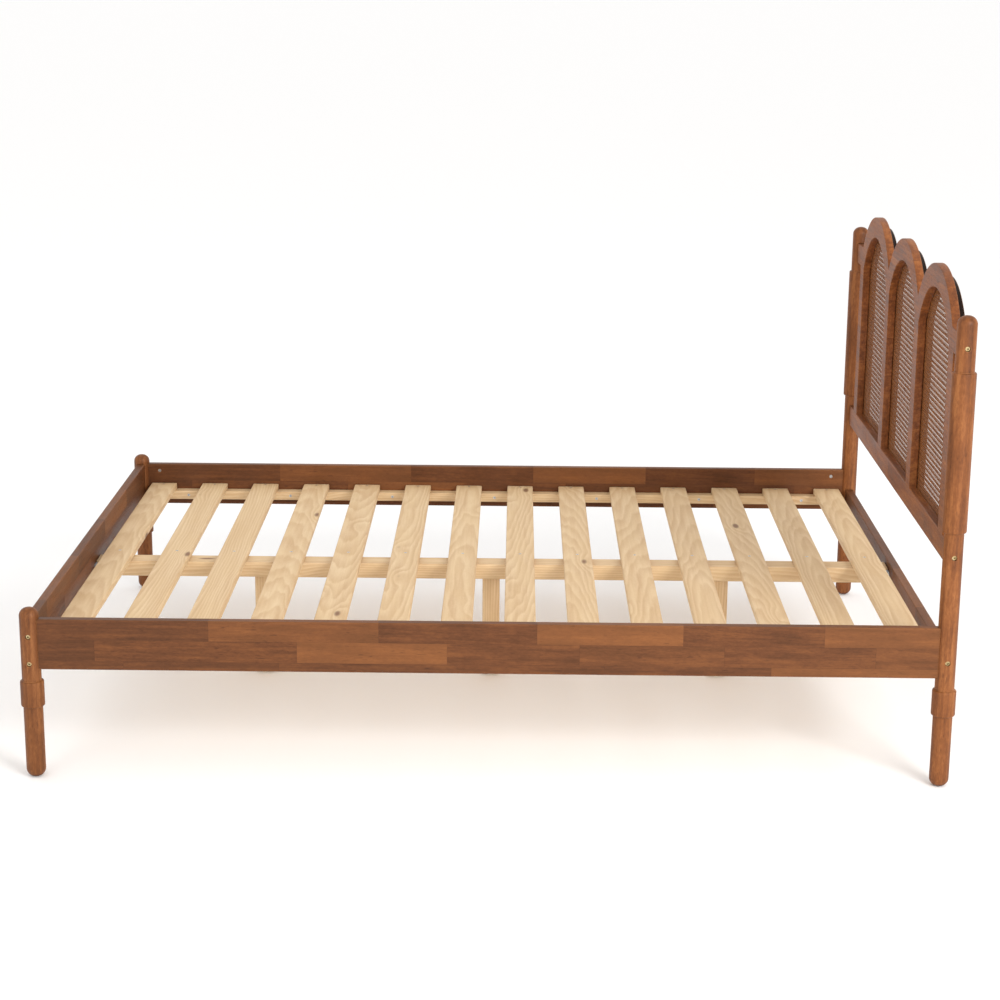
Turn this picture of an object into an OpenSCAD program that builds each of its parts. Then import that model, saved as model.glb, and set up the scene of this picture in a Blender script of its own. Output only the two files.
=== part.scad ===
// Queen-size wooden bed frame with a three-arch cane headboard.
// +X points to the head of the bed, +Y to the left side, +Z up. Millimetres.
// The origin is on the floor, midway between the four posts.

/* [Overall] */
// Distance from the foot post axes to the head post axes
axis_length = 2100; // [1700:10:2600]
// Distance from the right post axes to the left post axes
axis_width = 1560; // [1200:10:2000]

/* [Posts] */
// Height of a head post
head_post_h = 1100; // [900:5:1400]
// Height of a foot post
foot_post_h = 410; // [395:5:600]
// Diameter of a post
post_d = 45; // [40:1:60]
// Diameter of the collar and of the sleeve section
sleeve_d = 55; // [50:1:75]
// Height of the collar's lower edge above the floor
collar_bottom = 173; // [120:1:180]
// Length of the collar
collar_h = 62; // [40:1:75]
// Height of the sleeve section's lower edge
sleeve_bottom = 608; // [600:1:700]
// Length of the sleeve section
sleeve_h = 366; // [200:1:380]
// Rounding of the collar and sleeve shoulders
shoulder_r = 4; // [1:0.5:4.5]
// Rounding of a post's top edge
dome_r = 20; // [4:0.5:20]
// Rounding of a post's foot
foot_r = 20; // [2:0.5:20]

/* [Rails] */
// Height of the lower edge of the side and foot rails
rail_bottom = 264; // [250:1:290]
// Height of a side rail
side_rail_h = 120; // [110:1:125]
// Height of the foot rail
foot_rail_h = 120; // [110:1:125]
// Height of the head rail
head_rail_h = 60; // [56:1:90]
// Height of the lower edge of the head rail
head_rail_bottom = 267; // [255:1:290]
// Thickness of every rail
rail_t = 22; // [20:1:30]
// Rounding of a rail's long edges
rail_edge_r = 2; // [0.5:0.5:4]
// Depth of the flat seat cut into a post for a rail or the headboard
seat_depth = 3.5; // [2:0.5:5]

/* [Headboard] */
// Height of the top of the arches
board_top = 1166; // [1120:1:1400]
// Height of the board's lower edge
board_bottom = 525; // [500:1:540]
// Thickness of the board
board_t = 20; // [18:1:25]
// Width of the stiles, the arch rings, the tabs and the bottom member
member_w = 55; // [45:1:65]
// Rise of each outer arch above the shoulders between the arches
arch_rise = 110; // [60:1:130]
// Rise of each opening's arched top above its straight sides
opening_rise = 113; // [60:1:130]
// Distance from a post axis to the board's side edge, which leaves the slot beside the sleeve
board_edge_gap = 87; // [70:1:120]
// Thickness of a backing ring
ring_t = 17.5; // [12:0.5:22]
// Gap between neighbouring backing rings
ring_gap = 3; // [1:0.5:8]
// Thickness of the cane webbing
cane_t = 1.6; // [1:0.1:3]
// Margin of cane held between the board and the backing ring
cane_margin = 12; // [6:1:12]

/* [Slats and centre support] */
// Number of slats
slat_count = 14; // [10:1:16]
// Width of a slat
slat_w = 75; // [60:1:90]
// Thickness of a slat
slat_t = 17; // [12:1:20]
// Rounding of a slat's long edges
slat_edge_r = 3; // [1:0.5:5]
// Free space between a slat's end and the side rail
slat_end_clearance = 3; // [1:0.5:8]
// Height of the ledges that the slats lie on
ledge_top = 310; // [300:1:320]
// Height of a ledge strip
ledge_h = 25; // [20:1:30]
// Width of a ledge strip
ledge_w = 30; // [20:1:40]
// Space between a ledge's end and the head or foot rail
ledge_end_gap = 15; // [5:1:60]
// Height of the centre beam
beam_h = 40; // [36:1:40]
// Width of the centre beam
beam_w = 60; // [45:1:80]
// Distance between neighbouring centre legs
leg_spacing = 600; // [400:10:700]
// Width of a centre leg
leg_w = 45; // [35:1:44]
// Rounding of a centre leg's edges
leg_edge_r = 4; // [1:0.5:8]
// Diameter of a leveller's foot
leveller_d = 30; // [20:1:34]
// Thickness of a leveller's foot
leveller_foot_h = 8; // [5:0.5:12]
// Diameter of a leveller's threaded stem
leveller_stem_d = 8; // [6:1:10]
// Length of a leveller's threaded stem
leveller_stem_l = 40; // [30:1:60]

/* [Fixing places] */
// Distance from a side rail's top edge down to its upper bolt
side_bolt_drop = 20; // [15:1:24]
// Distance between the two bolts at a side rail's end
side_bolt_spacing = 44; // [40:1:50]
// Height of a side rail's dowel above the rail's lower edge
side_dowel_rise = 21; // [15:1:30]
// Height of the foot rail's lower bolt above the rail's lower edge
foot_bolt_rise = 15; // [12:1:20]
// Distance between the two bolts at the foot rail's end
foot_bolt_spacing = 65; // [60:1:70]
// Height of the foot rail's dowel above the rail's lower edge
foot_dowel_rise = 48; // [30:1:60]
// Distance from the head rail's top edge down to its bolt
head_bolt_drop = 24; // [18:1:28]
// Height of the head rail's dowel above the rail's lower edge
head_dowel_rise = 16; // [10:1:20]
// Distance from a headboard bolt down to the dowel below it
board_dowel_drop = 18; // [14:1:20]
// Distance from the first and last ring screw on a side to the end of the straight side
ring_screw_inset = 20; // [10:1:60]
// Turn from the crown to the ring screws on either side of it, in degrees
ring_screw_turn = 22; // [15:1:30]
// Distance from the slat deck down to a beam bracket's top
bracket_drop = 5; // [2:1:8]

/* [Hardware] */
// Diameter of a connector bolt
bolt_d = 6; // [5:1:8]
// Diameter of a connector bolt's head
bolt_head_d = 10; // [9:0.5:12]
// Height of a connector bolt's head
bolt_head_h = 6; // [4:0.5:8]
// Width across the corners of the hex socket
hex_socket_d = 5.8; // [4:0.1:7]
// Diameter of the counterbore for a bolt head
counterbore_d = 12; // [11:0.5:16]
// Depth of the counterbore for a bolt head below the post's surface
counterbore_depth = 10; // [6:0.5:11]
// Diameter of a barrel nut
nut_d = 10; // [10:0.5:12]
// Distance from a rail's end to its barrel nut
nut_setback = 35; // [25:1:60]
// Wood left over a barrel nut at the face that shows
nut_cover = 3; // [2:0.5:5]
// Diameter of a locating dowel
dowel_d = 8; // [6:1:10]
// Length of a locating dowel
dowel_l = 30; // [24:1:40]
// Depth of a locating dowel in the post
dowel_in_post = 12; // [8:1:14]
// Diameter of a wood screw
screw_d = 4; // [3:0.5:5]
// Diameter of a wood screw's countersunk head
screw_head_d = 8; // [6:0.5:9]
// Wall of a beam bracket
bracket_t = 2; // [1.5:0.5:3]
// Length of a beam bracket along the beam
bracket_l = 40; // [30:1:60]

/* [Hidden] */
$fn = 96;
slat_names = [for (i = [1 : slat_count]) str("slat_", i < 10 ? "0" : "", i)];

// Colours of the wood, the cane and the metals
stain = "saddlebrown";
dark_stain = "#2b1710";
plain_wood = "burlywood";
cane_colour = "peru";
brass = "goldenrod";
steel = "silver";

// Posts
half_l = axis_length / 2;
half_w = axis_width / 2;
post_r = post_d / 2;
sleeve_r = sleeve_d / 2;
seat = post_r - seat_depth;
// Clearance round a rail's end in its seat
seat_clearance = 0.25;
// Small overlap that lets a cut run clear of a face
over = 1;
side_signs = [-1, 1];

// Rails
rail_half_t = rail_t / 2;
side_rail_l = axis_length - 2 * seat;
cross_rail_l = axis_width - 2 * seat;
deck_end = half_l - rail_half_t;
rail_inner = half_w - rail_half_t;

// Heights of the bolts and dowels
side_bolt_top = rail_bottom + side_rail_h - side_bolt_drop;
side_bolt_heights = [side_bolt_top, side_bolt_top - side_bolt_spacing];
side_dowel_height = rail_bottom + side_dowel_rise;
foot_bolt_heights = [rail_bottom + foot_bolt_rise + foot_bolt_spacing, rail_bottom + foot_bolt_rise];
foot_dowel_height = rail_bottom + foot_dowel_rise;
head_bolt_height = head_rail_bottom + head_rail_h - head_bolt_drop;
head_dowel_height = head_rail_bottom + head_dowel_rise;
bolt_seat = post_r - counterbore_depth;

// Headboard: three equal openings between stiles of one width
shoulder_z = board_top - arch_rise;
tab_bottom = shoulder_z - member_w;
board_half_w = half_w - board_edge_gap;
opening_w = (2 * board_half_w - 4 * member_w) / 3;
arch_pitch = opening_w + member_w;
arch_centres = [-arch_pitch, 0, arch_pitch];
sill_z = board_bottom + member_w;
crown_z = board_top - member_w;
board_half_t = board_t / 2;
ring_back = board_half_t + ring_t;
tab_bolt_height = (shoulder_z + tab_bottom) / 2;
member_bolt_height = board_bottom + member_w / 2;
ring_w = (member_w - ring_gap) / 2;
screw_line = (ring_w + cane_margin) / 2;

// Slats and centre support
ledge_l = 2 * (deck_end - ledge_end_gap);
slat_l = 2 * (rail_inner - slat_end_clearance);
slat_margin = 4;
slat_pitch = (ledge_l - 2 * slat_margin - slat_w) / (slat_count - 1);
beam_l = 2 * (deck_end - bracket_t);
beam_bottom = ledge_top - beam_h;
leg_h = beam_bottom - leveller_foot_h;
bracket_flange = 20;
leveller_clearance = 0.3;
insert_wall = 2;
insert_l = 20;
insert_flange = 4;
insert_flange_t = 1.5;
stem_room = 4;

// Screws and bolts
bolt_past_nut = 8;
nut_end_gap = 2;
screw_head_h = 2.5;
ledge_screw_l = 45;
ledge_screw_count = 8;
ledge_screw_margin = 60;
slat_screw_l = 35;
ring_screw_l = 26;
bracket_screw_l = 18;
leg_bolt_d = 8;
leg_bolt_l = 60;

// ---- shapes shared by several parts ----

// A rectangle with rounded corners, centred
module rounded_rect(w, h, r) {
    union() {
        square([w - 2 * r, h], center = true);
        square([w, h - 2 * r], center = true);
        for (sx = side_signs, sy = side_signs)
            translate([sx * (w / 2 - r), sy * (h / 2 - r)]) circle(r);
    }
}

// Half the section of a turned length: radius, lower and upper ends, and the rounding of each
module turned(r, low, high, r_low, r_high) {
    intersection() {
        union() {
            translate([0, low + r_low]) square([r, high - low - r_low - r_high]);
            translate([0, low]) square([r - r_low, r_low]);
            translate([0, high - r_high]) square([r - r_high, r_high]);
            translate([r - r_low, low + r_low]) circle(r_low);
            translate([r - r_high, high - r_high]) circle(r_high);
        }
        translate([0, low]) square([r, high - low]);
    }
}

// Stands an outline in the YZ plane and gives it a thickness from x_low to x_high
module upright(x_low, x_high) {
    translate([x_low, 0, 0]) rotate([90, 0, 90]) linear_extrude(x_high - x_low) children();
}

// Moves to a post's axis, with +X and +Y turned towards the middle of the bed.
// end is -1 at the foot and 1 at the head, side is -1 on the right and 1 on the left
module at_post(end, side) {
    translate([end * half_l, side * half_w, 0])
        mirror([end > 0 ? 1 : 0, 0, 0])
            mirror([0, side > 0 ? 1 : 0, 0])
                children();
}

// Turns +Z to run along the side rail, or across to the other post
module along(z) translate([0, 0, z]) rotate([0, 90, 0]) children();
module across(z) translate([0, 0, z]) rotate([-90, 0, 0]) children();

// A cylinder between two heights
module rod(d, low, high) translate([0, 0, low]) cylinder(d = d, h = high - low);

// A connector bolt through a post, its hole in the post, and its hole in the rail
bolt_tip = seat + nut_setback + bolt_past_nut;
module bolt() {
    difference() {
        union() {
            rod(bolt_head_d, -bolt_seat - bolt_head_h, -bolt_seat);
            rod(bolt_d, -bolt_seat, bolt_tip);
        }
        translate([0, 0, -bolt_seat - bolt_head_h - over])
            cylinder(d = hex_socket_d, h = bolt_head_h / 2 + over, $fn = 6);
    }
}
module bolt_hole_in_post() {
    rod(bolt_d, -bolt_seat - over, seat + over);
    rod(counterbore_d, -sleeve_r - over, -bolt_seat);
}
module bolt_hole_in_rail() rod(bolt_d, seat - over, bolt_tip);

// A barrel nut across a bolt. t is the thickness of the wood round it
module nut(t) {
    difference() {
        rod(nut_d, nut_cover - t / 2, t / 2 - nut_end_gap);
        rotate([90, 0, 0]) cylinder(d = bolt_d, h = 2 * nut_d, center = true);
    }
}
module nut_hole(t) rod(nut_d, nut_cover - t / 2, t / 2 + over);

// Places a nut on a bolt that runs along or across the bed. to is 1 where the hole opens
// towards the middle of the bed, and -1 where it opens outwards
module nut_along(z) translate([seat + nut_setback, 0, z]) rotate([0, 90, 90]) children();
module nut_across(z, to) translate([0, seat + nut_setback, z]) rotate([0, to * 90, 0]) children();

// A locating dowel and its hole, which is a little longer at both ends
module dowel() rod(dowel_d, seat - dowel_in_post, seat - dowel_in_post + dowel_l);
module dowel_hole() rod(dowel_d, seat - dowel_in_post - over, seat - dowel_in_post + dowel_l + over);

// A countersunk wood screw driven down -Z with its head flush at zero, and its hole
module screw_shape(l) {
    rod(screw_d, -l, -screw_head_h);
    translate([0, 0, -screw_head_h]) cylinder(d1 = screw_d, d2 = screw_head_d, h = screw_head_h);
}
module cross_recess() {
    for (a = [0, 90])
        rotate([0, 0, a]) cube([screw_head_d / 2, screw_head_d / 8, screw_head_h], center = true);
}
module wood_screw(l) {
    difference() {
        screw_shape(l);
        cross_recess();
    }
}

// ---- posts ----

module post_blank(h, sleeve_sections) {
    rotate_extrude() {
        union() {
            turned(post_r, 0, h, foot_r, dome_r);
            for (s = sleeve_sections) turned(sleeve_r, s[0], s[0] + s[1], shoulder_r, shoulder_r);
        }
    }
}

// The flat seat for a rail or the headboard, along the bed or across it
module seat_cut(t, low, high) {
    translate([seat, -t / 2 - seat_clearance, low - seat_clearance])
        cube([sleeve_r, t + 2 * seat_clearance, high - low + 2 * seat_clearance]);
}
module seat_across(t, low, high) {
    mirror([1, -1, 0]) seat_cut(t, low, high);
}

module side_rail_fixings_in_post() {
    seat_cut(rail_t, rail_bottom, rail_bottom + side_rail_h);
    for (z = side_bolt_heights) along(z) bolt_hole_in_post();
    along(side_dowel_height) dowel_hole();
}

module head_post(side) {
    color(stain) at_post(1, side) difference() {
        post_blank(head_post_h, [[collar_bottom, collar_h], [sleeve_bottom, sleeve_h]]);
        side_rail_fixings_in_post();
        seat_across(rail_t, head_rail_bottom, head_rail_bottom + head_rail_h);
        seat_across(board_t, board_bottom, sill_z);
        seat_across(board_t, tab_bottom, shoulder_z);
        for (z = [head_bolt_height, member_bolt_height, tab_bolt_height]) across(z) bolt_hole_in_post();
        for (z = [head_dowel_height, member_bolt_height - board_dowel_drop, tab_bolt_height - board_dowel_drop])
            across(z) dowel_hole();
    }
}

module foot_post(side) {
    color(stain) at_post(-1, side) difference() {
        post_blank(foot_post_h, [[collar_bottom, collar_h]]);
        side_rail_fixings_in_post();
        seat_across(rail_t, rail_bottom, rail_bottom + foot_rail_h);
        for (z = foot_bolt_heights) across(z) bolt_hole_in_post();
        across(foot_dowel_height) dowel_hole();
    }
}

// ---- rails ----

module side_rail(side) {
    color(stain) difference() {
        translate([0, side * half_w, rail_bottom + side_rail_h / 2])
            upright(-side_rail_l / 2, side_rail_l / 2) rounded_rect(rail_t, side_rail_h, rail_edge_r);
        for (end = side_signs) at_post(end, side) {
            for (z = side_bolt_heights) {
                along(z) bolt_hole_in_rail();
                nut_along(z) nut_hole(rail_t);
            }
            along(side_dowel_height) dowel_hole();
        }
        ledge_screw_places(side) screw_shape(ledge_screw_l);
    }
}

// A rail between two posts, with its long edges rounded
module cross_rail(end, low, h) {
    translate([end * half_l, 0, low + h / 2])
        rotate([90, 0, 0]) linear_extrude(cross_rail_l, center = true) rounded_rect(rail_t, h, rail_edge_r);
}

module cross_rail_fixings(bolt_heights, dowel_height) {
    for (z = bolt_heights) {
        across(z) bolt_hole_in_rail();
        nut_across(z, 1) nut_hole(rail_t);
    }
    across(dowel_height) dowel_hole();
}

module foot_rail() {
    color(stain) difference() {
        cross_rail(-1, rail_bottom, foot_rail_h);
        for (side = side_signs) at_post(-1, side) cross_rail_fixings(foot_bolt_heights, foot_dowel_height);
        bracket_screw_places(-1) bracket_screw_shank();
    }
}

module head_rail() {
    color(stain) difference() {
        cross_rail(1, head_rail_bottom, head_rail_h);
        for (side = side_signs) at_post(1, side) cross_rail_fixings([head_bolt_height], head_dowel_height);
        bracket_screw_places(1) bracket_screw_shank();
    }
}

// ---- headboard ----

// Radius of an arc with a given width and rise
function arc_radius(w, rise) = (w * w / 4 + rise * rise) / (2 * rise);
arch_r = arc_radius(arch_pitch, arch_rise);
opening_r = arc_radius(opening_w, opening_rise);
spring_z = crown_z - opening_rise;

// One arched opening, grown outwards by grow
module opening_shape(grow) {
    half = opening_w / 2 + grow;
    translate([-half, sill_z - grow]) square([2 * half, spring_z - sill_z + grow]);
    intersection() {
        translate([0, crown_z - opening_r]) circle(opening_r + grow, $fn = 180);
        translate([-half, spring_z]) square([2 * half, opening_rise + grow]);
    }
}

module board_outline() {
    translate([-board_half_w, board_bottom]) square([2 * board_half_w, shoulder_z - board_bottom]);
    for (y = arch_centres) translate([y, 0]) intersection() {
        translate([0, board_top - arch_r]) circle(arch_r, $fn = 240);
        translate([-arch_pitch / 2, shoulder_z - over]) square([arch_pitch, arch_rise + over]);
    }
    translate([-cross_rail_l / 2, board_bottom]) square([cross_rail_l, member_w]);
    translate([-cross_rail_l / 2, tab_bottom]) square([cross_rail_l, shoulder_z - tab_bottom]);
}

module headboard_panel() {
    color(stain) difference() {
        upright(half_l - board_half_t, half_l + board_half_t) difference() {
            board_outline();
            for (y = arch_centres) translate([y, 0]) opening_shape(0);
        }
        for (side = side_signs) at_post(1, side)
            for (z = [member_bolt_height, tab_bolt_height]) {
                across(z) bolt_hole_in_rail();
                nut_across(z, -1) nut_hole(board_t);
                across(z - board_dowel_drop) dowel_hole();
            }
        for (y = arch_centres) ring_screw_places(y) screw_shape(ring_screw_l);
    }
}

module cane_panel(y) {
    color(cane_colour) translate([0, y, 0])
        upright(half_l + board_half_t, half_l + board_half_t + cane_t) opening_shape(cane_margin);
}

module backing_ring(y) {
    color(dark_stain) difference() {
        translate([0, y, 0]) upright(half_l + board_half_t, half_l + ring_back) difference() {
            opening_shape(ring_w);
            opening_shape(0);
        }
        translate([0, y, 0])
            upright(half_l + board_half_t - over, half_l + board_half_t + cane_t) opening_shape(cane_margin);
        ring_screw_places(y) screw_shape(ring_screw_l);
    }
}

// Points round an opening for the ring's screws: both sides, the sill and the arch
side_screw_x = opening_w / 2 + screw_line;
side_screw_heights = [sill_z + ring_screw_inset, (sill_z + spring_z) / 2, spring_z - ring_screw_inset];
arch_screw_r = opening_r + screw_line;
ring_screw_points = concat(
    [for (s = side_signs, z = side_screw_heights) [s * side_screw_x, z]],
    [for (s = side_signs) [s * opening_w / 4, sill_z - screw_line]],
    [for (a = [-ring_screw_turn, 0, ring_screw_turn])
        [arch_screw_r * sin(a), crown_z - opening_r + arch_screw_r * cos(a)]]
);
module ring_screw_places(y) {
    for (p = ring_screw_points)
        translate([half_l + ring_back, y + p[0], p[1]]) rotate([0, 90, 0]) children();
}

// ---- slats, ledges and the centre support ----

function slat_x(i) = -ledge_l / 2 + slat_margin + slat_w / 2 + (i - 1) * slat_pitch;
beam_screw_y = beam_w / 4;

// The slat's screws: one in each ledge, and one in the beam beside the leg bolts
module slat_screw_places(i) {
    for (y = [-rail_inner + ledge_w / 2, beam_screw_y, rail_inner - ledge_w / 2])
        translate([slat_x(i), y, ledge_top + slat_t]) children();
}

// The ledge's screws stand midway between the slats
module ledge_screw_places(side) {
    for (i = [1 : 2 : slat_count - 1])
        translate([slat_x(i) + slat_pitch / 2, side * (rail_inner - ledge_w), ledge_top - ledge_h / 2])
            rotate([side * 90, 0, 0]) children();
}

module side_ledge(side) {
    color(plain_wood) difference() {
        translate([-ledge_l / 2, side * (rail_inner - ledge_w / 2) - ledge_w / 2, ledge_top - ledge_h])
            cube([ledge_l, ledge_w, ledge_h]);
        for (i = [1 : slat_count]) slat_screw_places(i) screw_shape(slat_screw_l);
        ledge_screw_places(side) screw_shape(ledge_screw_l);
    }
}

module slat(i) {
    color(plain_wood) difference() {
        translate([slat_x(i), 0, ledge_top + slat_t / 2])
            rotate([90, 0, 0]) linear_extrude(slat_l, center = true)
                rounded_rect(slat_w, slat_t, slat_edge_r);
        slat_screw_places(i) screw_shape(slat_screw_l);
    }
}

leg_xs = [leg_spacing, 0, -leg_spacing];

module centre_beam() {
    color(plain_wood) difference() {
        translate([-beam_l / 2, -beam_w / 2, beam_bottom]) cube([beam_l, beam_w, beam_h]);
        for (i = [1 : slat_count]) slat_screw_places(i) screw_shape(slat_screw_l);
        for (x = leg_xs) translate([x, 0, 0]) leg_bolt();
    }
}

// A saddle of bent steel that holds the beam's end against the head or foot rail
module bracket_at(end) {
    translate([end * deck_end, 0, beam_bottom]) mirror([end > 0 ? 1 : 0, 0, 0]) children();
}
bracket_top = beam_h - bracket_drop;
module beam_bracket(end) {
    wide = beam_w + 2 * bracket_t;
    color(steel) bracket_at(end) difference() {
        union() {
            translate([0, -wide / 2 - bracket_flange, -bracket_t])
                cube([bracket_t, wide + 2 * bracket_flange, bracket_top + bracket_t]);
            translate([0, -wide / 2, -bracket_t]) cube([bracket_l, wide, bracket_t]);
            for (y = [-wide / 2, beam_w / 2])
                translate([0, y, -bracket_t]) cube([bracket_l, bracket_t, bracket_top + bracket_t]);
        }
        bracket_screw_points() bracket_screw_shank();
    }
}

module bracket_screw_points() {
    for (side = side_signs, z = [bracket_top / 4, bracket_top * 3 / 4])
        translate([bracket_t, side * (beam_w / 2 + bracket_t + bracket_flange / 2), z])
            rotate([0, 90, 0]) children();
}
module bracket_screw_places(end) bracket_at(end) bracket_screw_points() children();
module bracket_screw_shank() rod(screw_d, -bracket_screw_l, 0);

module centre_leg(x) {
    color(plain_wood) difference() {
        translate([x, 0, leveller_foot_h]) linear_extrude(leg_h) rounded_rect(leg_w, leg_w, leg_edge_r);
        translate([x, 0, 0]) {
            leg_bolt();
            insert_shape();
            rod(insert_bore, 0, leveller_foot_h + leveller_stem_l + stem_room);
        }
    }
}

module leg_bolt() rod(leg_bolt_d, beam_bottom - leg_bolt_l / 2, beam_bottom + leg_bolt_l / 2);

// The threaded insert for a leveller, with a flange flush with the leg's foot
insert_bore = leveller_stem_d + 2 * leveller_clearance;
insert_d = insert_bore + 2 * insert_wall;
insert_flange_d = insert_d + 2 * insert_flange;
module insert_shape() {
    rod(insert_d, leveller_foot_h, leveller_foot_h + insert_l);
    rod(insert_flange_d, leveller_foot_h, leveller_foot_h + insert_flange_t);
}

module leveller(x) {
    color("dimgray") translate([x, 0, 0]) rotate_extrude() union() {
        turned(leveller_d / 2, 0, leveller_foot_h, over, over);
        translate([0, leveller_foot_h - over])
            square([leveller_stem_d / 2, leveller_stem_l + over]);
    }
}

// ---- hardware ----

module side_rail_bolts() {
    color(brass) for (end = side_signs, side = side_signs, z = side_bolt_heights)
        at_post(end, side) along(z) bolt();
}

module cross_rail_bolts() {
    color(brass) for (side = side_signs) {
        at_post(-1, side) for (z = foot_bolt_heights) across(z) bolt();
        at_post(1, side) across(head_bolt_height) bolt();
    }
}

module headboard_bolts() {
    color(brass) for (side = side_signs, z = [member_bolt_height, tab_bolt_height])
        at_post(1, side) across(z) bolt();
}

module side_rail_nuts() {
    color(steel) for (end = side_signs, side = side_signs, z = side_bolt_heights)
        at_post(end, side) nut_along(z) nut(rail_t);
}

module cross_rail_nuts() {
    color(steel) for (side = side_signs) {
        at_post(-1, side) for (z = foot_bolt_heights) nut_across(z, 1) nut(rail_t);
        at_post(1, side) nut_across(head_bolt_height, 1) nut(rail_t);
    }
}

module headboard_nuts() {
    color(steel) for (side = side_signs, z = [member_bolt_height, tab_bolt_height])
        at_post(1, side) nut_across(z, -1) nut(board_t);
}

module locating_dowels() {
    color(plain_wood) for (side = side_signs) {
        for (end = side_signs) at_post(end, side) along(side_dowel_height) dowel();
        at_post(-1, side) across(foot_dowel_height) dowel();
        for (z = [head_dowel_height, member_bolt_height - board_dowel_drop, tab_bolt_height - board_dowel_drop])
            at_post(1, side) across(z) dowel();
    }
}

module ring_screws() {
    color(steel) for (y = arch_centres) ring_screw_places(y) wood_screw(ring_screw_l);
}

module ledge_screws() {
    color(steel) for (side = side_signs) ledge_screw_places(side) wood_screw(ledge_screw_l);
}

module slat_screws() {
    color(steel) for (i = [1 : slat_count]) slat_screw_places(i) wood_screw(slat_screw_l);
}

module bracket_screws() {
    color(steel) for (end = side_signs) bracket_screw_places(end) difference() {
        union() {
            bracket_screw_shank();
            rod(screw_head_d, 0, screw_head_h);
        }
        translate([0, 0, screw_head_h]) cross_recess();
    }
}

module leg_bolts() {
    color(steel) for (x = leg_xs) translate([x, 0, 0]) leg_bolt();
}

module leveller_inserts() {
    color(steel) for (x = leg_xs) translate([x, 0, 0]) difference() {
        insert_shape();
        rod(insert_bore, 0, leveller_foot_h + insert_l + over);
    }
}

head_post(-1);  // head_post_right
head_post(1);  // head_post_left
foot_post(-1);  // foot_post_right
foot_post(1);  // foot_post_left
side_rail(-1);  // side_rail_right
side_rail(1);  // side_rail_left
foot_rail();
head_rail();
headboard_panel();
cane_panel(arch_centres[0]);  // cane_panel_right
cane_panel(arch_centres[1]);  // cane_panel_middle
cane_panel(arch_centres[2]);  // cane_panel_left
backing_ring(arch_centres[0]);  // backing_ring_right
backing_ring(arch_centres[1]);  // backing_ring_middle
backing_ring(arch_centres[2]);  // backing_ring_left
side_ledge(-1);  // side_ledge_right
side_ledge(1);  // side_ledge_left
centre_beam();
beam_bracket(1);  // beam_bracket_head
beam_bracket(-1);  // beam_bracket_foot
centre_leg(leg_xs[0]);  // centre_leg_head
centre_leg(leg_xs[1]);  // centre_leg_middle
centre_leg(leg_xs[2]);  // centre_leg_foot
leveller(leg_xs[0]);  // leveller_head
leveller(leg_xs[1]);  // leveller_middle
leveller(leg_xs[2]);  // leveller_foot
side_rail_bolts();
cross_rail_bolts();
headboard_bolts();
side_rail_nuts();
cross_rail_nuts();
headboard_nuts();
locating_dowels();
ring_screws();
ledge_screws();
slat_screws();
bracket_screws();
leg_bolts();
leveller_inserts();
for (i = [1 : slat_count]) slat(i);
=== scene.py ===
import math
import random

import bmesh
import bpy
from mathutils import Matrix, Vector


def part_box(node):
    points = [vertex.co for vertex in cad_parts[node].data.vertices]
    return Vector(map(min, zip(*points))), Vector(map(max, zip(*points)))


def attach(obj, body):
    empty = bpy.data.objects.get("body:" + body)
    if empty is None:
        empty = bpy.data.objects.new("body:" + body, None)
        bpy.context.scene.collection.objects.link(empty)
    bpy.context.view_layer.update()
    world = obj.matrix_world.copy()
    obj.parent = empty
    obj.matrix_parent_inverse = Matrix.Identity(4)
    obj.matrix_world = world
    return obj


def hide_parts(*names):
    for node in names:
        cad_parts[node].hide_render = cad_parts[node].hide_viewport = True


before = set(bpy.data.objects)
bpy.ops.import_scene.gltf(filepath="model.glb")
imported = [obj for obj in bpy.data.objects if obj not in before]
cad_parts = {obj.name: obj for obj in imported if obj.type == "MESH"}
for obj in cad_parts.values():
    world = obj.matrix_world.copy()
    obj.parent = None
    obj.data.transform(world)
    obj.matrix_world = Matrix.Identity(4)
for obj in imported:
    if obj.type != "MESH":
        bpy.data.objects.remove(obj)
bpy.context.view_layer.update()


# ---- Turned posts ----
# Four posts turned from solid hardwood, each with a collar near the floor and a domed top.
# The head posts are longer and have a sleeve section beside the headboard. They are stained
# a warm mid brown and finished with a satin lacquer, with the grain running up the post.

def shade(code):
    """The linear colour of a six-figure colour code."""
    channels = [int(code[i:i + 2], 16) / 255 for i in (0, 2, 4)]
    return [c / 12.92 if c <= 0.04045 else ((c + 0.055) / 1.055) ** 2.4 for c in channels] + [1.0]


def place(tree, kind, inputs=None, **settings):
    """A shader node in tree. An input is a value or another node's output socket."""
    made = tree.nodes.new(kind)
    for name, value in settings.items():
        setattr(made, name, value)
    for name, value in (inputs or {}).items():
        if isinstance(value, bpy.types.NodeSocket):
            tree.links.new(value, made.inputs[name])
        else:
            made.inputs[name].default_value = value
    return made


def maths(tree, operation, first, second=0.0, third=0.0):
    """The result of one step of arithmetic."""
    node = place(tree, "ShaderNodeMath", {0: first, 1: second, 2: third}, operation=operation)
    return node.outputs["Value"]


def vector_maths(tree, operation, first, second=(0.0, 0.0, 0.0)):
    """The vector that one step of vector arithmetic gives."""
    node = place(tree, "ShaderNodeVectorMath", {0: first, 1: second}, operation=operation)
    return node.outputs["Vector"]


def spread(tree, value, low, high, to_low=0.0, to_high=1.0):
    """The value with low and high taken to to_low and to_high, and cut off past them."""
    inputs = {"Value": value, "From Min": low, "From Max": high, "To Min": to_low, "To Max": to_high}
    return place(tree, "ShaderNodeMapRange", inputs, interpolation_type="SMOOTHSTEP").outputs["Result"]


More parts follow.
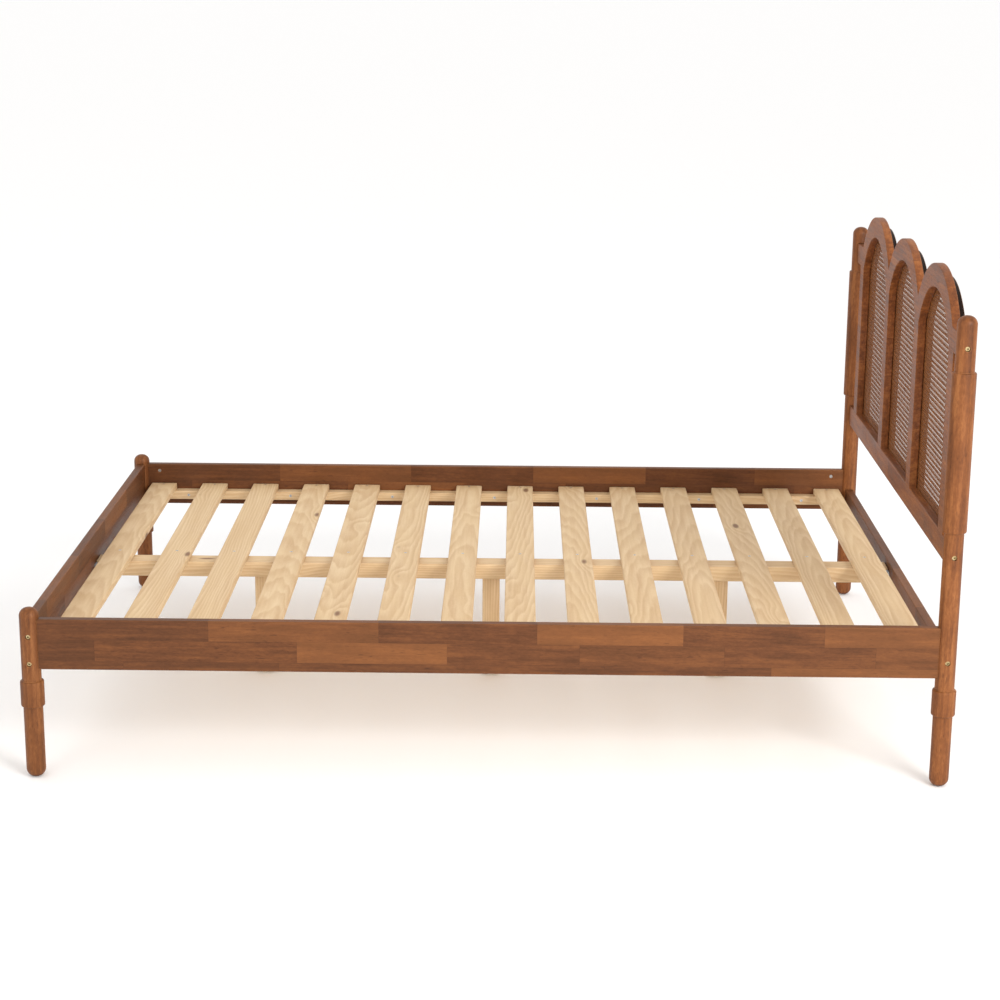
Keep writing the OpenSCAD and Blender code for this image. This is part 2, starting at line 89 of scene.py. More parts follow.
def stretched_noise(tree, where, scale, detail, roughness=0.5):
    """Noise whose features are 1 / scale metres long on each axis."""
    scaled = vector_maths(tree, "MULTIPLY", where, scale)
    inputs = {"Vector": scaled, "Scale": 1.0, "Detail": detail, "Roughness": roughness}
    return place(tree, "ShaderNodeTexNoise", inputs).outputs["Fac"]


def blend_colour(tree, factor, first, second):
    """Two colours mixed by a factor. A Mix node's colours are its inputs 6 and 7 and its output 2."""
    node = place(tree, "ShaderNodeMix", {0: factor, 6: first, 7: second}, data_type="RGBA")
    return node.outputs[2]


def dab(tree, mask, strength, colour, over):
    """A colour laid over another where the mask is 1, at a strength."""
    return blend_colour(tree, maths(tree, "MULTIPLY", mask, strength), over, shade(colour))


def new_group(name, inputs, outputs):
    """An empty shader node group with its sockets, as (tree, inputs by name, output node)."""
    tree = bpy.data.node_groups.new(name, "ShaderNodeTree")
    for socket, kind in inputs.items():
        tree.interface.new_socket(socket, in_out="INPUT", socket_type="NodeSocket" + kind)
    for socket, kind in outputs.items():
        tree.interface.new_socket(socket, in_out="OUTPUT", socket_type="NodeSocket" + kind)
    return tree, tree.nodes.new("NodeGroupInput").outputs, tree.nodes.new("NodeGroupOutput").inputs


def place_group(tree, group, inputs):
    """The outputs of a node group placed in tree."""
    return place(tree, "ShaderNodeGroup", inputs, node_tree=group).outputs


def timber_grain():
    """The figure of sawn timber. Position has the grain along X, in metres from the tree's heart."""
    tree, given, made = new_group(
        "Timber grain",
        {"Position": "Vector", "Ring spacing": "Float"},
        {
            name: "Float"
            for name in ("Rings", "Streaks", "Fibres", "Pores", "Flecks", "Mottle", "Speckle", "Knots")
        },
    )
    where = given["Position"]
    knot_cells = vector_maths(tree, "MULTIPLY", where, (3.1, 9.0, 9.0))
    nearest = place(tree, "ShaderNodeTexVoronoi", {"Vector": knot_cells, "Scale": 1.0})
    knot = spread(tree, nearest.outputs["Distance"], 0.1, 0.045)
    round_knot = spread(tree, nearest.outputs["Distance"], 0.34, 0.04)
    across = vector_maths(tree, "MULTIPLY", where, (0.05, 1.0, 1.0))
    from_heart = place(tree, "ShaderNodeVectorMath", {0: across}, operation="LENGTH")
    wander = stretched_noise(tree, where, (1.7, 13.0, 13.0), 3.0)
    bent = maths(tree, "MULTIPLY_ADD", wander, 0.03, from_heart.outputs["Value"])
    bent = maths(tree, "MULTIPLY_ADD", round_knot, 0.009, bent)
    turns = maths(tree, "DIVIDE", bent, given["Ring spacing"])
    ring = maths(tree, "FRACT", turns)
    # each ring darkens slowly towards its late wood, then ends sharply
    rings = maths(tree, "SUBTRACT", spread(tree, ring, 0.0, 0.8), spread(tree, ring, 0.8, 1.0))
    speckle = stretched_noise(tree, where, (70.0, 210.0, 210.0), 4.0, 0.7)
    results = {
        "Rings": rings,
        "Streaks": spread(tree, stretched_noise(tree, where, (2.4, 60.0, 60.0), 6.0, 0.65), 0.3, 0.7),
        "Fibres": stretched_noise(tree, where, (14.0, 900.0, 900.0), 2.0),
        "Pores": spread(tree, stretched_noise(tree, where, (70.0, 1500.0, 1500.0), 1.0), 0.62, 0.72),
        "Flecks": spread(tree, stretched_noise(tree, where, (42.0, 300.0, 300.0), 2.0), 0.63, 0.75),
        "Mottle": spread(tree, stretched_noise(tree, where, (7.0, 24.0, 24.0), 4.0, 0.6), 0.32, 0.68),
        "Speckle": spread(tree, speckle, 0.3, 0.7, -0.5, 0.5),
        "Knots": knot,
    }
    for name, value in results.items():
        tree.links.new(value, made[name])
    return tree


def worn_edges_and_highlight():
    """Eased edges: a mask that is 1 along edges and 0 on flat faces, for wear and a painted highlight
    along them, and the normal of the easing.
    """
    tree, given, made = new_group(
        "Highlighted_and_worn edges",
        {"Width": "Float", "Position": "Vector"},
        {"Mask": "Float", "Eased normal": "Vector"},
    )
    rounded = place(tree, "ShaderNodeBevel", {"Radius": given["Width"]}, samples=4)
    normals = {
        0: rounded.outputs["Normal"],
        1: place(tree, "ShaderNodeNewGeometry").outputs["Normal"],
    }
    facing = place(tree, "ShaderNodeVectorMath", normals, operation="DOT_PRODUCT")
    # Lightening along this mask stands for stain worn thin and a painted highlight on the arrises.
    edge = spread(tree, facing.outputs["Value"], 0.995, 0.86)
    edge_patchiness = stretched_noise(tree, given["Position"], (22.0, 22.0, 22.0), 3.0)
    patchy = spread(tree, edge_patchiness, 0.3, 0.65, 0.35, 1.0)
    tree.links.new(maths(tree, "MULTIPLY", edge, patchy), made["Mask"])
    tree.links.new(rounded.outputs["Normal"], made["Eased normal"])
    return tree


def recess_shade_and_grime():
    """A mask that is 1 deep in holes and tight corners: painted shade, with the stain and dust that
    gather there.
    """
    tree, given, made = new_group("Recess grime", {"Reach": "Float"}, {"Mask": "Float"})
    # Ambient occlusion makes this mask, so it darkens recesses as painted shade.
    opening = place(tree, "ShaderNodeAmbientOcclusion", {"Distance": given["Reach"]}, samples=8)
    tree.links.new(spread(tree, opening.outputs["AO"], 0.55, 0.1), made["Mask"])
    return tree


grain_group = timber_grain()
edge_highlight_group = worn_edges_and_highlight()
shade_grime_group = recess_shade_and_grime()
# How a mapping turns its X axis to lie along each axis of the bed
TURN_TO = {"X": (0.0, 0.0, 0.0), "Y": (0.0, 0.0, math.pi / 2), "Z": (0.0, -math.pi / 2, 0.0)}


def start_material(name):
    """A new material with its tree, its shader and the place on the object, in metres."""
    material = bpy.data.materials.new(name)
    material.use_nodes = True
    tree = material.node_tree
    spot = place(tree, "ShaderNodeTexCoord").outputs["Object"]
    return material, tree, tree.nodes["Principled BSDF"], spot


def lay_along(tree, spot, along, heart):
    """The place on the object, measured from the tree's heart with the grain along X."""
    turn = {"Vector": spot, "Location": heart, "Rotation": TURN_TO[along]}
    return place(tree, "ShaderNodeMapping", turn, vector_type="TEXTURE").outputs["Vector"]


def roughen(tree, shader, height, strength, distance, normal=None):
    """Gives a surface its fine relief, on top of a normal if one is given."""
    inputs = {"Height": height, "Strength": strength, "Distance": distance}
    if normal:
        inputs["Normal"] = normal
    tree.links.new(place(tree, "ShaderNodeBump", inputs).outputs["Normal"], shader.inputs["Normal"])


def stained_wood(
    name, along, heart, staves=None, contrast=0.22, sheen=0.24,
    dark="562d13", middle="7e4620", light="a06231",
):
    """Stained and satin-lacquered hardwood. staves adds glued-up staves, with their contrast in tone."""
    material, tree, shader, spot = start_material(name)
    laid = lay_along(tree, spot, along, heart)
    if staves:
        glued = place_group(tree, stave_group, dict(staves, Position=laid))
        laid = glued["Own position"]
    grain = place_group(tree, grain_group, {"Position": laid, "Ring spacing": 0.011})
    figure = -0.1
    shares = {"Streaks": 0.4, "Rings": 0.14, "Mottle": 0.34, "Speckle": 0.24, "Fibres": 0.3}
    for part, share in shares.items():
        figure = maths(tree, "MULTIPLY_ADD", grain[part], share, figure)
    ramp = place(tree, "ShaderNodeValToRGB", {"Fac": figure})
    stops = ramp.color_ramp.elements
    stops[0].position, stops[0].color = 0.0, shade(dark)
    stops[1].position, stops[1].color = 1.0, shade(light)
    stops.new(0.5).color = shade(middle)
    colour = ramp.outputs["Color"]
    if staves:
        paler = spread(tree, glued["Tone"], 0.5, 1.0, 0.0, contrast)
        colour = blend_colour(tree, paler, colour, shade("a86a38"))
        deeper = spread(tree, glued["Tone"], 0.5, 0.0, 0.0, contrast)
        colour = blend_colour(tree, deeper, colour, shade("4a2b16"))
        colour = dab(tree, glued["Seam"], contrast, "341c10", colour)
    colour = dab(tree, grain["Flecks"], 0.55, "3f220f", colour)
    colour = dab(tree, grain["Pores"], 0.35, "3f2213", colour)
    colour = dab(tree, grain["Knots"], 0.6, "3a1f10", colour)
    # Lighter along eased edges: stain worn thin there, and a painted highlight on the arrises.
    edges = place_group(tree, edge_highlight_group, {"Width": 0.003, "Position": spot})
    colour = dab(tree, edges["Mask"], 0.5, "c68752", colour)
    # Near black deep in holes and corners: painted shade, with some pooled stain.
    shade_and_grime = place_group(tree, shade_grime_group, {"Reach": 0.007})
    colour = dab(tree, shade_and_grime["Mask"], 0.85, "1c0f08", colour)
    tree.links.new(colour, shader.inputs["Base Color"])
    dull = maths(tree, "MULTIPLY_ADD", grain["Pores"], 0.2, 0.46)
    tree.links.new(maths(tree, "MULTIPLY_ADD", grain["Mottle"], 0.08, dull), shader.inputs["Roughness"])
    shader.inputs["Specular IOR Level"].default_value = sheen
    hollows = maths(tree, "ADD", grain["Pores"], grain["Flecks"])
    relief = maths(tree, "SUBTRACT", maths(tree, "MULTIPLY", grain["Fibres"], 0.5), hollows)
    roughen(tree, shader, relief, 0.3, 0.00025, edges["Eased normal"])
    return material


def finish_node(name, material):
    """Gives a part of the frame its material."""
    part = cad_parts[name]
    part.data.materials.clear()
    part.data.materials.append(material)


heart_offset = Vector((0.03, -0.018, 0.0))
# The foot posts take a darker stain than the head posts: painted shade, for the weaker light at the foot
# end of the bed.
post_stains_foot_shaded = {"head": ("552e15", "7c4823", "9e6436"), "foot": ("4e2b14", "734320", "945e33")}
for end, (dark, middle, light) in post_stains_foot_shaded.items():
    for side in ("right", "left"):
        post = end + "_post_" + side
        low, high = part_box(post)
        heart = (low + high) / 2 + heart_offset
        heart.z = 0.0
        stain = stained_wood("stained_" + post, "Z", heart, dark=dark, middle=middle, light=light)
        finish_node(post, stain)


# ---- Rails ----
# Two side rails, the foot rail and the head rail, sawn from board that is glued up from short
# staves about 50 mm wide, with their long edges rounded. They take a darker stain than the posts.

def glued_staves():
    """Board glued up from staves laid along X and stacked along Z, each a piece of its own."""
    tree, given, made = new_group(
        "Glued staves",
        {"Position": "Vector", "Stave height": "Float", "Stave length": "Float", "First joint": "Float"},
        {"Tone": "Float", "Seam": "Float", "Own position": "Vector"},
    )
    parts = place(tree, "ShaderNodeSeparateXYZ", {"Vector": given["Position"]})
    raised = maths(tree, "ADD", parts.outputs["Z"], given["First joint"])
    level = maths(tree, "DIVIDE", raised, given["Stave height"])
    row = maths(tree, "FLOOR", level)
    run = maths(tree, "DIVIDE", parts.outputs["X"], given["Stave length"])
    # each row is cut somewhere else along the same endless line of staves
    cut = {"W": maths(tree, "MULTIPLY_ADD", row, 7.37, run), "Scale": 1.0, "Randomness": 0.8}
    piece = place(tree, "ShaderNodeTexVoronoi", cut, voronoi_dimensions="1D")
    split = place(tree, "ShaderNodeSeparateColor", {"Color": piece.outputs["Color"]})
    to_end = place(
        tree, "ShaderNodeTexVoronoi", cut, voronoi_dimensions="1D", feature="DISTANCE_TO_EDGE"
    ).outputs["Distance"]
    end_line = spread(tree, maths(tree, "MULTIPLY", to_end, given["Stave length"]), 0.0009, 0.0003)
    in_row = maths(tree, "FRACT", level)
    to_side = maths(tree, "MINIMUM", in_row, maths(tree, "SUBTRACT", 1.0, in_row))
    side_line = spread(tree, maths(tree, "MULTIPLY", to_side, given["Stave height"]), 0.0008, 0.0003)
    tree.links.new(split.outputs["Red"], made["Tone"])
    tree.links.new(maths(tree, "MAXIMUM", end_line, side_line), made["Seam"])
    jump = vector_maths(tree, "MULTIPLY", piece.outputs["Color"], (7.0, 0.09, 0.09))
    tree.links.new(vector_maths(tree, "ADD", given["Position"], jump), made["Own position"])
    return tree


stave_group = glued_staves()
stave_height = 0.05
rail_stave_length = 0.34
# how far the lowest glue line lies above a rail's foot
rail_joint = 0.0215
head_rail_joint = 0.012
for rail, along, lowest_joint in (
    ("side_rail_right", "X", rail_joint), ("side_rail_left", "X", rail_joint),
    ("foot_rail", "Y", rail_joint), ("head_rail", "Y", head_rail_joint),
):
    low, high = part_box(rail)
    heart = (low + high) / 2
    heart.z = low.z
    staves = {
        "Stave height": stave_height,
        "Stave length": rail_stave_length,
        "First joint": stave_height - lowest_joint,
    }
    stain = stained_wood(
        "stained_" + rail, along, heart, staves, dark="48280f", middle="60371b", light="784824"
    )
    finish_node(rail, stain)


# ---- Headboard ----
# One board, cut out of the same glued-up hardwood with three arches along its top and three
# arched openings. Its edges are eased with sandpaper before it is stained.

low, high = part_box("headboard_panel")
member = 0.055
# from the middle of the board to the outer edge of its end stile
stile_edge = 0.693
arch_rise = 0.110
opening_rise = 0.113
easing = 0.0018
shoulder = high.z - arch_rise
sill = low.z + member
crown = high.z - member
arch_steps = 40
opening_half = (2 * stile_edge - 4 * member) / 6
arch_centres = [step * (2 * opening_half + member) for step in (1, 0, -1)]
arch_half = opening_half + member / 2


def arch_radius(half, rise):
    """The radius of an arch, from half its width and its rise."""
    return (half ** 2 + rise ** 2) / (2 * rise)


def arc(centre, half, foot, rise):
    """Points over an arch from its left foot to its right foot, looking along the bed to the head."""
    radius = arch_radius(half, rise)
    sweep = math.asin(half / radius)
    turns = [sweep * (1 - 2 * i / arch_steps) for i in range(arch_steps + 1)]
    return [(centre + radius * math.sin(t), foot + rise - radius + radius * math.cos(t)) for t in turns]


def add_object(name, data):
    """An object in the scene."""
    made = bpy.data.objects.new(name, data)
    bpy.context.scene.collection.objects.link(made)
    return made


def finished_mesh(drawn):
    """The mesh that an object's outline and modifiers come to."""
    evaluated = drawn.evaluated_get(bpy.context.evaluated_depsgraph_get())
    return bpy.data.meshes.new_from_object(evaluated)


def board_from_outlines(name, outlines, front, back, ease):
    """A board between two depths, cut to its outlines, with its edges eased."""
    curve = bpy.data.curves.new(name, "CURVE")
    curve.dimensions = "2D"
    curve.fill_mode = "BOTH"
    curve.extrude = (back - front) / 2 - ease
    curve.bevel_depth = ease
    curve.bevel_resolution = 2
    curve.offset = -ease
    for outline in outlines:
        spline = curve.splines.new("POLY")
        spline.points.add(len(outline) - 1)
        for point, (y, z) in zip(spline.points, outline):
            point.co = (y, z, 0.0, 1.0)
        spline.use_cyclic_u = True
    drawn = add_object(name + "_outline", curve)
    mesh = finished_mesh(drawn)
    mesh.name = name
    bpy.data.objects.remove(drawn)
    # the outline's first axis runs across the bed, its second up, and its depth from foot to head
    upright = Matrix(((0, 0, 1, (front + back) / 2), (1, 0, 0, 0), (0, 1, 0, 0), (0, 0, 0, 1)))
    mesh.transform(upright)
    return add_object(name, mesh)


edge = [(-high.y, low.z), (high.y, low.z), (high.y, sill), (stile_edge, sill)]
edge += [(stile_edge, shoulder - member), (high.y, shoulder - member), (high.y, shoulder)]
for centre in arch_centres:
    points = arc(centre, arch_half, shoulder, arch_rise)
    edge += points if centre == arch_centres[0] else points[1:]
edge += [(-high.y, shoulder), (-high.y, shoulder - member), (-stile_edge, shoulder - member)]
edge += [(-stile_edge, sill), (-high.y, sill)]
openings = [
    [(centre - opening_half, sill), (centre + opening_half, sill)]
    + arc(centre, opening_half, crown - opening_rise, opening_rise)
    for centre in arch_centres
]
headboard = board_from_outlines("arched_headboard", [edge] + openings, low.x, high.x, easing)

# Each barrel nut goes in from the back of the board, through a hole of its own width
nut_r = 0.005
nuts_low, nuts_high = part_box("headboard_nuts")
nut_places = [
    (y, z)
    for y in (nuts_low.y + nut_r, nuts_high.y - nut_r)
    for z in (nuts_low.z + nut_r, nuts_high.z - nut_r)
]
hole_depth = high.x - nuts_low.x
drills = bmesh.new()
for y, z in nut_places:
    facing_back = Matrix.Translation((high.x, y, z)) @ Matrix.Rotation(math.pi / 2, 4, "Y")
    bmesh.ops.create_cone(
        drills, cap_ends=True, segments=48, matrix=facing_back,
        radius1=nut_r, radius2=nut_r, depth=2 * hole_depth,
    )
drill_mesh = bpy.data.meshes.new("nut_holes")
drills.to_mesh(drill_mesh)
drills.free()
drill = add_object("nut_holes", drill_mesh)
bore = headboard.modifiers.new("nut holes", "BOOLEAN")
bore.operation = "DIFFERENCE"
bore.solver = "EXACT"
bore.object = drill
undrilled = headboard.data
headboard.data = finished_mesh(headboard)
headboard.modifiers.clear()
bpy.data.objects.remove(drill)
bpy.data.meshes.remove(drill_mesh)
bpy.data.meshes.remove(undrilled)
headboard.data.name = "arched_headboard"

board_stave_length = 0.42
staves = {"Stave height": stave_height, "Stave length": board_stave_length, "First joint": 0.0}
heart = ((low.x + high.x) / 2, 0.31, sill)
headboard.data.materials.append(stained_wood("stained_headboard", "Y", heart, staves, contrast=0.08))
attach(headboard, "frame")
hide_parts("headboard_panel")


# ---- Cane panels ----
# Machine-woven half-inch mesh cane: paired uprights and cross strands with one diagonal each
# way, all split rattan strips with a glossy rounded face, toned brown to go with the wood. A
# sheet is pressed flat behind each opening and its edge is held under the backing ring.

cell = 0.0127
strand_w = 0.0030
strand_crown = 0.00030
strand_belly = 0.00024
# half the distance between the two strands of a pair, and how far they weave in and out
pair_half = 0.00155
pair_lift = 0.00022
# how far a diagonal passes over or under a pair, and how long it stays there
diagonal_lift = 0.00055
diagonal_hold = 0.0026
foot_gap = 0.6 * cell
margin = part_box("cane_panel_middle")[1].y - opening_half
arch_r = arch_radius(opening_half, opening_rise) + margin


class Weave:
    """Collects strands as one mesh."""

    def __init__(self):
        self.points = []
        self.faces = []
        self.tones = []
        self.alongs = []

    def strand(self, path, tone):
        """A strip along path, a list of (across, up, depth), with its broad face to the front."""
        if len(path) < 2:
            return
        first = len(self.points)
        run = 0.0
        for i, (y, z, x) in enumerate(path):
            before, after = path[max(i - 1, 0)], path[min(i + 1, len(path) - 1)]
            heading = Vector((after[0] - before[0], after[1] - before[1]))
            heading.normalize()
            side = Vector((-heading.y, heading.x)) * strand_w / 2
            self.points += [
                (x, y + side.x, z + side.y), (x - strand_crown, y, z),
                (x, y - side.x, z - side.y), (x + strand_belly, y, z),
            ]
            if i:
                run += math.hypot(y - path[i - 1][0], z - path[i - 1][1])
            self.tones += [tone] * 4
            self.alongs += [run] * 4
        for i in range(len(path) - 1):
            start = first + 4 * i
            for k in range(4):
                n = (k + 1) % 4
                self.faces.append((start + k, start + 4 + k, start + 4 + n, start + n))
        last = len(self.points) - 4
        self.faces.append((first, first + 1, first + 2, first + 3))
        self.faces.append((last + 3, last + 2, last + 1, last))


def split_rattan(name):
    """Glossy strips of rattan, each of its own tone and changing slowly along its length."""
    material, tree, shader, spot = start_material(name)
    tone = place(tree, "ShaderNodeAttribute", attribute_name="strand_tone").outputs["Fac"]
    along = place(tree, "ShaderNodeAttribute", attribute_name="strand_along").outputs["Fac"]
    own_row = maths(tree, "MULTIPLY", tone, 31.0)
    run = place(tree, "ShaderNodeCombineXYZ", {"X": along, "Y": own_row}).outputs["Vector"]
    slow = spread(tree, stretched_noise(tree, run, (9.0, 1.0, 1.0), 3.0), 0.3, 0.7)
    fine = stretched_noise(tree, spot, (1500.0, 1500.0, 1500.0), 2.0)
    colour = blend_colour(tree, slow, shade("7e4a24"), shade("9a6234"))
    colour = blend_colour(tree, spread(tree, tone, 0.5, 1.0, 0.0, 0.5), colour, shade("643518"))
    colour = blend_colour(tree, spread(tree, fine, 0.5, 0.75, 0.0, 0.4), colour, shade("59341a"))
    tree.links.new(colour, shader.inputs["Base Color"])
    tree.links.new(maths(tree, "MULTIPLY_ADD", fine, 0.2, 0.42), shader.inputs["Roughness"])
    shader.inputs["Specular IOR Level"].default_value = 0.25
    roughen(tree, shader, fine, 0.3, 0.0001)
    return material


toned_cane = split_rattan("toned_cane")
for index, side in enumerate(("right", "middle", "left")):
    name = "cane_panel_" + side
    low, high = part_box(name)
    centre = (low.y + high.y) / 2
    half = (high.y - low.y) / 2
    depth = (low.x + high.x) / 2
    arch_centre = high.z - arch_r
    grown = random.Random(40 + index)

    def inside(y, z):
        """Whether a place, measured from the sheet's centre line, lies within its outline."""
        if abs(y) > half or z < low.z:
            return False
        return z < arch_centre or y * y + (z - arch_centre) ** 2 < arch_r ** 2

    def top_of(y):
        """The height of the arch at a distance from the sheet's centre line."""
        return arch_centre + math.sqrt(arch_r ** 2 - y * y)

    def reach_of(z):
        """How far the sheet reaches to each side at a height."""
        if z < arch_centre:
            return half
        return min(half, math.sqrt(max(arch_r ** 2 - (z - arch_centre) ** 2, 0.0)))

    weave = Weave()
    columns = int(half / cell)
    rows = int((high.z - low.z) / cell)
    base_z = low.z + foot_gap
    # the paired uprights
    for i in range(-columns, columns + 1):
        for k in (-1, 1):
            y = i * cell + k * pair_half
            if abs(y) > half - strand_w / 2:
                continue
            top = top_of(y) - strand_w / 2
            path = [(centre + y, low.z, depth)]
            for j in range(rows + 1):
                for m in (-1, 1):
                    z = base_z + j * cell + m * pair_half
                    if z < top:
                        path.append((centre + y, z, depth + k * m * pair_lift))
            path.append((centre + y, top, depth))
            weave.strand(path, grown.random())
    # the paired cross strands
    for j in range(rows + 1):
        for m in (-1, 1):
            z = base_z + j * cell + m * pair_half
            reach = reach_of(z) - strand_w / 2
            if reach < cell:
                continue
            path = [(centre - reach, z, depth)]
            for i in range(-columns, columns + 1):
                for k in (-1, 1):
                    y = i * cell + k * pair_half
                    if abs(y) < reach:
                        path.append((centre + y, z, depth - k * m * pair_lift))
            path.append((centre + reach, z, depth))
            weave.strand(path, grown.random())
    # the diagonals: half a cell apart each way, they cross an upright pair and a cross pair in turn
    span = columns + rows + 2
    for lean in (-1, 1):
        starting_z = base_z if lean > 0 else base_z + rows * cell
        for start in range(-span, span + 1):
            path = []
            for step in range(-2 * span, 2 * span + 1):
                y = (start + step / 2) * cell
                z = starting_z + lean * (step - 1) / 2 * cell
                on_upright = step % 2 == 0
                over = diagonal_lift * (1 if on_upright else -1) * lean
                for end in (-1, 1):
                    shift = end * diagonal_hold / math.sqrt(2)
                    if inside(y + shift, z + lean * shift):
                        path.append((centre + y + shift, z + lean * shift, depth + over))
            weave.strand(path, grown.random())

    mesh = bpy.data.meshes.new("woven_cane_" + side)
    mesh.from_pydata(weave.points, [], weave.faces)
    mesh.shade_smooth()
    for attribute, values in (("strand_tone", weave.tones), ("strand_along", weave.alongs)):
        mesh.attributes.new(attribute, "FLOAT", "POINT").data.foreach_set("value", values)
    mesh.materials.append(toned_cane)
    sheet = add_object("woven_cane_" + side, mesh)
    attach(sheet, "frame")
    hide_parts(name)


# ---- Backing rings ----
# A ring of hardwood behind each opening, rebated over the edge of the cane and screwed to the
# headboard. The rings are stained near black, so that they don't show past the board's arches.

for side in ("right", "middle", "left"):
    name = "backing_ring_" + side
    low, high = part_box(name)
    heart = (low.x - 0.03, (low.y + high.y) / 2, low.z)
    stain = stained_wood(
        "dark_" + name, "Z", heart, sheen=0.1, dark="140b07", middle="1b100a", light="26170e"
    )
    finish_node(name, stain)


# ---- Slats, ledges and centre support ----
# Plain unfinished softwood: a ledge strip screwed inside each side rail, a beam on three legs
# down the middle, and fourteen slats with rounded edges screwed down on them.

def plain_wood(name, along, heart):
    """Planed and unfinished softwood."""
    material, tree, shader, spot = start_material(name)
    laid = lay_along(tree, spot, along, heart)
    grain = place_group(tree, grain_group, {"Position": laid, "Ring spacing": 0.0065})
    figure = 0.0
    for part, share in {"Streaks": 0.34, "Rings": 0.34, "Speckle": 0.12}.items():
        figure = maths(tree, "MULTIPLY_ADD", grain[part], share, figure)
    colour = blend_colour(tree, figure, shade("dcc097"), shade("b48a5c"))
    colour = dab(tree, grain["Mottle"], 0.35, "cfae7e", colour)
    colour = dab(tree, grain["Knots"], 0.85, "6f4526", colour)
    # Paler along eased edges: a little wear, and a painted highlight on the arrises.
    edges = place_group(tree, edge_highlight_group, {"Width": 0.0015, "Position": spot})
    colour = dab(tree, edges["Mask"], 0.25, "ecd9b8", colour)
    # Darker brown deep in holes and corners: painted shade, with some dust.
    shade_and_grime = place_group(tree, shade_grime_group, {"Reach": 0.006})
    colour = dab(tree, shade_and_grime["Mask"], 0.5, "5a4028", colour)
    tree.links.new(colour, shader.inputs["Base Color"])
    tree.links.new(maths(tree, "MULTIPLY_ADD", grain["Fibres"], 0.15, 0.55), shader.inputs["Roughness"])
    roughen(tree, shader, grain["Fibres"], 0.4, 0.0003, edges["Eased normal"])
    return material


heart_beside = 0.02
heart_below = 0.03
for name in ("side_ledge_right", "side_ledge_left", "centre_beam"):
    low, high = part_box(name)
    heart = (0.0, low.y - heart_beside, low.z - heart_below)
    finish_node(name, plain_wood("plain_" + name, "X", heart))
for name in ("centre_leg_head", "centre_leg_middle", "centre_leg_foot"):
    low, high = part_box(name)
    heart = (low.x - heart_beside, low.y - heart_below, 0.0)
    finish_node(name, plain_wood("plain_" + name, "Z", heart))
slats = sorted(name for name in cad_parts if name.startswith("slat_") and name != "slat_screws")
sawing = random.Random(7)
for name in slats:
    low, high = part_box(name)
    # each slat is sawn from a place of its own in the tree
    heart = (
        low.x + sawing.uniform(-0.02, 0.09),
        sawing.uniform(-4.0, 4.0),
        low.z - sawing.uniform(0.005, 0.06),
    )
    finish_node(name, plain_wood("plain_" + name, "Y", heart))
finish_node("locating_dowels", plain_wood("plain_dowels", "X", (0.0, 0.0, 0.0)))


# ---- Metalwork ----
# Socket-headed connector bolts in yellow brass plate, and barrel nuts, screws, brackets and
# threaded inserts in bright zinc plate.

def plated_steel(name, colour, tarnish, gloss):
    """Plated steel, a little dulled in patches by handling."""
    material, tree, shader, spot = start_material(name)
    patches = spread(tree, stretched_noise(tree, spot, (180.0, 180.0, 180.0), 3.0), 0.35, 0.7)
    scratches = stretched_noise(tree, spot, (2500.0, 2500.0, 500.0), 2.0)
    plate = blend_colour(tree, patches, shade(colour), shade(tarnish))
    # Near black deep in sockets and holes: painted shade, with some grime.
    shade_and_grime = place_group(tree, shade_grime_group, {"Reach": 0.01})
    plate = blend_colour(tree, shade_and_grime["Mask"], plate, shade("17120c"))
    tree.links.new(plate, shader.inputs["Base Color"])
    tree.links.new(maths(tree, "MULTIPLY_ADD", patches, 0.15, gloss), shader.inputs["Roughness"])
    shader.inputs["Metallic"].default_value = 1.0
    roughen(tree, shader, scratches, 0.15, 0.0001)
    return material


brass_plate = plated_steel("brass_plate", "cfb88a", "a58b5c", 0.28)
for name in ("side_rail_bolts", "cross_rail_bolts", "headboard_bolts"):
    finish_node(name, brass_plate)
zinc_plate = plated_steel("zinc_plate", "c9ccd0", "a4a8ad", 0.3)
for name in (
    "side_rail_nuts", "cross_rail_nuts", "headboard_nuts", "ring_screws", "ledge_screws", "slat_screws",
    "bracket_screws", "leg_bolts", "leveller_inserts", "beam_bracket_head", "beam_bracket_foot",
):
    finish_node(name, zinc_plate)


# ---- Levellers ----
# Three moulded nylon feet with threaded stems, which screw up into the centre legs to take
# up an uneven floor. The nylon is natural, off-white and faintly mottled.

def moulded_nylon(name):
    """Nylon as it comes from the mould, a little cloudy and finely pitted."""
    material, tree, shader, spot = start_material(name)
    cloud = stretched_noise(tree, spot, (120.0, 120.0, 120.0), 3.0)
    fine = stretched_noise(tree, spot, (2200.0, 2200.0, 2200.0), 1.0)
    milky = blend_colour(tree, cloud, shade("f1ece0"), shade("ded6c4"))
    tree.links.new(milky, shader.inputs["Base Color"])
    tree.links.new(maths(tree, "MULTIPLY_ADD", fine, 0.15, 0.38), shader.inputs["Roughness"])
    roughen(tree, shader, fine, 0.2, 0.0001)
    return material


nylon = moulded_nylon("natural_nylon")
for name in ("leveller_head", "leveller_middle", "leveller_foot"):
    finish_node(name, nylon)


# ---- Studio ----
# A wide pale floor, large soft lamps and a pale surround, with the camera on the bed's right
# side, a little above the height of the headboard.

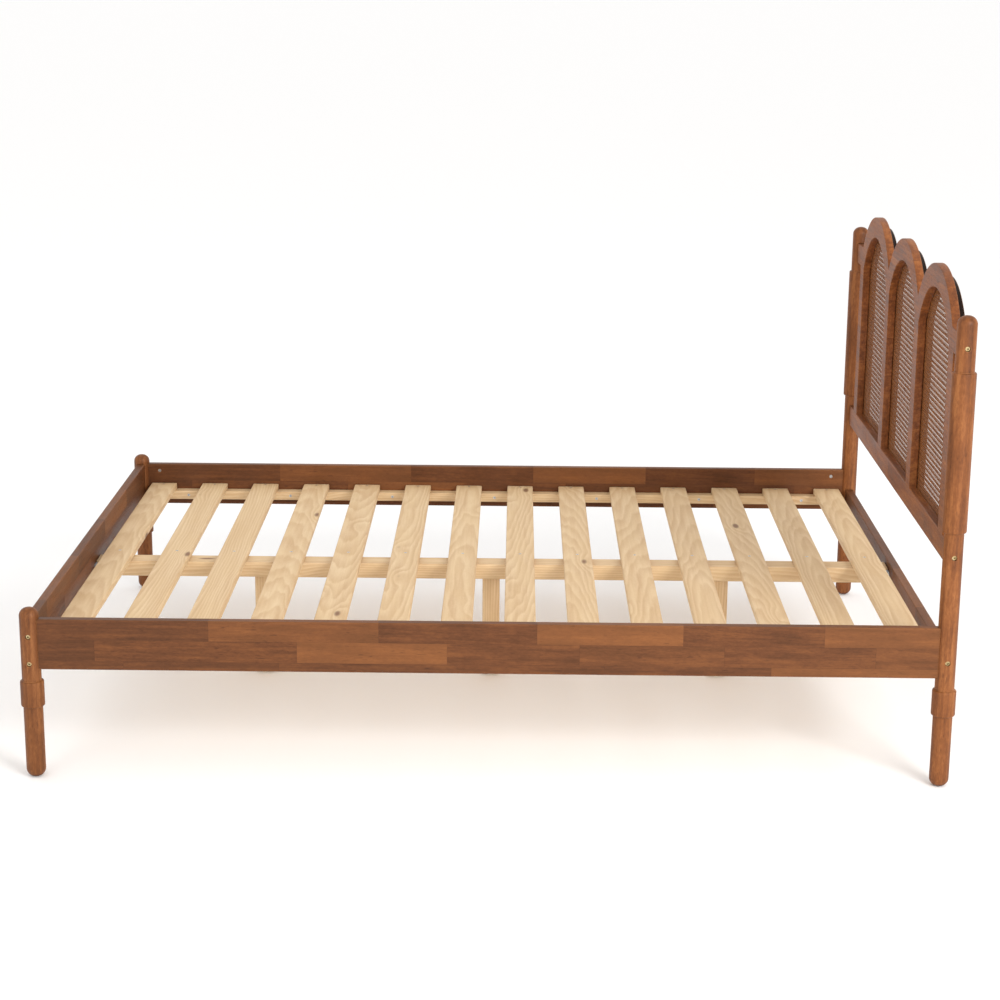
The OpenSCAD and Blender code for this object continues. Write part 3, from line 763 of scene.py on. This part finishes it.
floor_half = 400.0
corners = [(x * floor_half, y * floor_half, 0.0) for x, y in ((-1, -1), (1, -1), (1, 1), (-1, 1))]
floor_mesh = bpy.data.meshes.new("studio_floor")
floor_mesh.from_pydata(corners, [], [(0, 1, 2, 3)])
pale = bpy.data.materials.new("pale_floor")
pale.use_nodes = True
paint = pale.node_tree.nodes["Principled BSDF"]
paint.inputs["Base Color"].default_value = shade("fcfbfa")
paint.inputs["Roughness"].default_value = 0.9
floor_mesh.materials.append(pale)
studio_floor = add_object("studio_floor", floor_mesh)


def soft_lamp(name, at, towards, width, watts):
    """A square lamp of the given width, facing a point."""
    light = bpy.data.lights.new(name, "AREA")
    light.shape = "SQUARE"
    light.size = width
    light.energy = watts
    lamp = add_object(name, light)
    lamp.location = at
    lamp.rotation_euler = (Vector(towards) - Vector(at)).to_track_quat("-Z", "Y").to_euler()


soft_lamp("key_lamp", (3.4, -5.2, 3.0), (0.6, -0.4, 0.5), 2.4, 270.0)
soft_lamp("fill_lamp", (-3.4, -5.8, 2.6), (0.6, 0.0, 0.6), 2.6, 50.0)

world = bpy.data.worlds.new("studio_surround")
world.use_nodes = True
surround = world.node_tree.nodes["Background"]
surround.inputs["Color"].default_value = (1.0, 1.0, 1.0, 1.0)
surround.inputs["Strength"].default_value = 1.02
bpy.context.scene.world = world
bpy.context.scene.view_settings.view_transform = "Standard"

camera_at = Vector((0.0601, -5.5726, 1.8794))
camera_yaw = math.radians(-0.819)
camera_pitch = math.radians(15.177)
camera_roll = math.radians(0.329)
camera_data = bpy.data.cameras.new("camera")
camera_data.sensor_width = 36.0
camera_data.lens = 79.09
camera_data.shift_x = 0.0160
camera_data.shift_y = 0.0401
camera = add_object("camera", camera_data)
camera.matrix_world = (
    Matrix.Translation(camera_at)
    @ Matrix.Rotation(-camera_yaw, 4, "Z")
    @ Matrix.Rotation(math.pi / 2 - camera_pitch, 4, "X")
    @ Matrix.Rotation(camera_roll, 4, "Z")
)
bpy.context.scene.camera = camera
